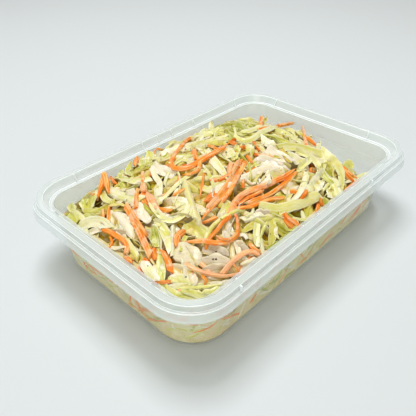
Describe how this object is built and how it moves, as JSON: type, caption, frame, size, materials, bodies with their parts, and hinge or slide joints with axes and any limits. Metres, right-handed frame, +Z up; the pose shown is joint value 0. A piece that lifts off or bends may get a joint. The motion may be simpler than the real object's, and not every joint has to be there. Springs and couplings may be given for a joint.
{
  "type": "coleslaw in a clear tub",
  "caption": "Shredded cabbage and carrot salad in a creamy dressing, heaped in an open clear rectangular takeaway tub with a stepped rim.",
  "frame": {"origin": "centre of the bounding box at its bottom, on the surface that the tub stands on", "axes": "+X along the tub's long side, +Y along its short side, +Z up"},
  "size_m": [0.172, 0.116, 0.0464],
  "materials": {
    "clear_plastic": "clear, slightly milky moulded plastic",
    "slaw": "moist shredded vegetables in a creamy dressing"
  },
  "bodies": {
    "root": {"tub": "clear_plastic", "coleslaw": "slaw"}
  },
  "joints": []
}
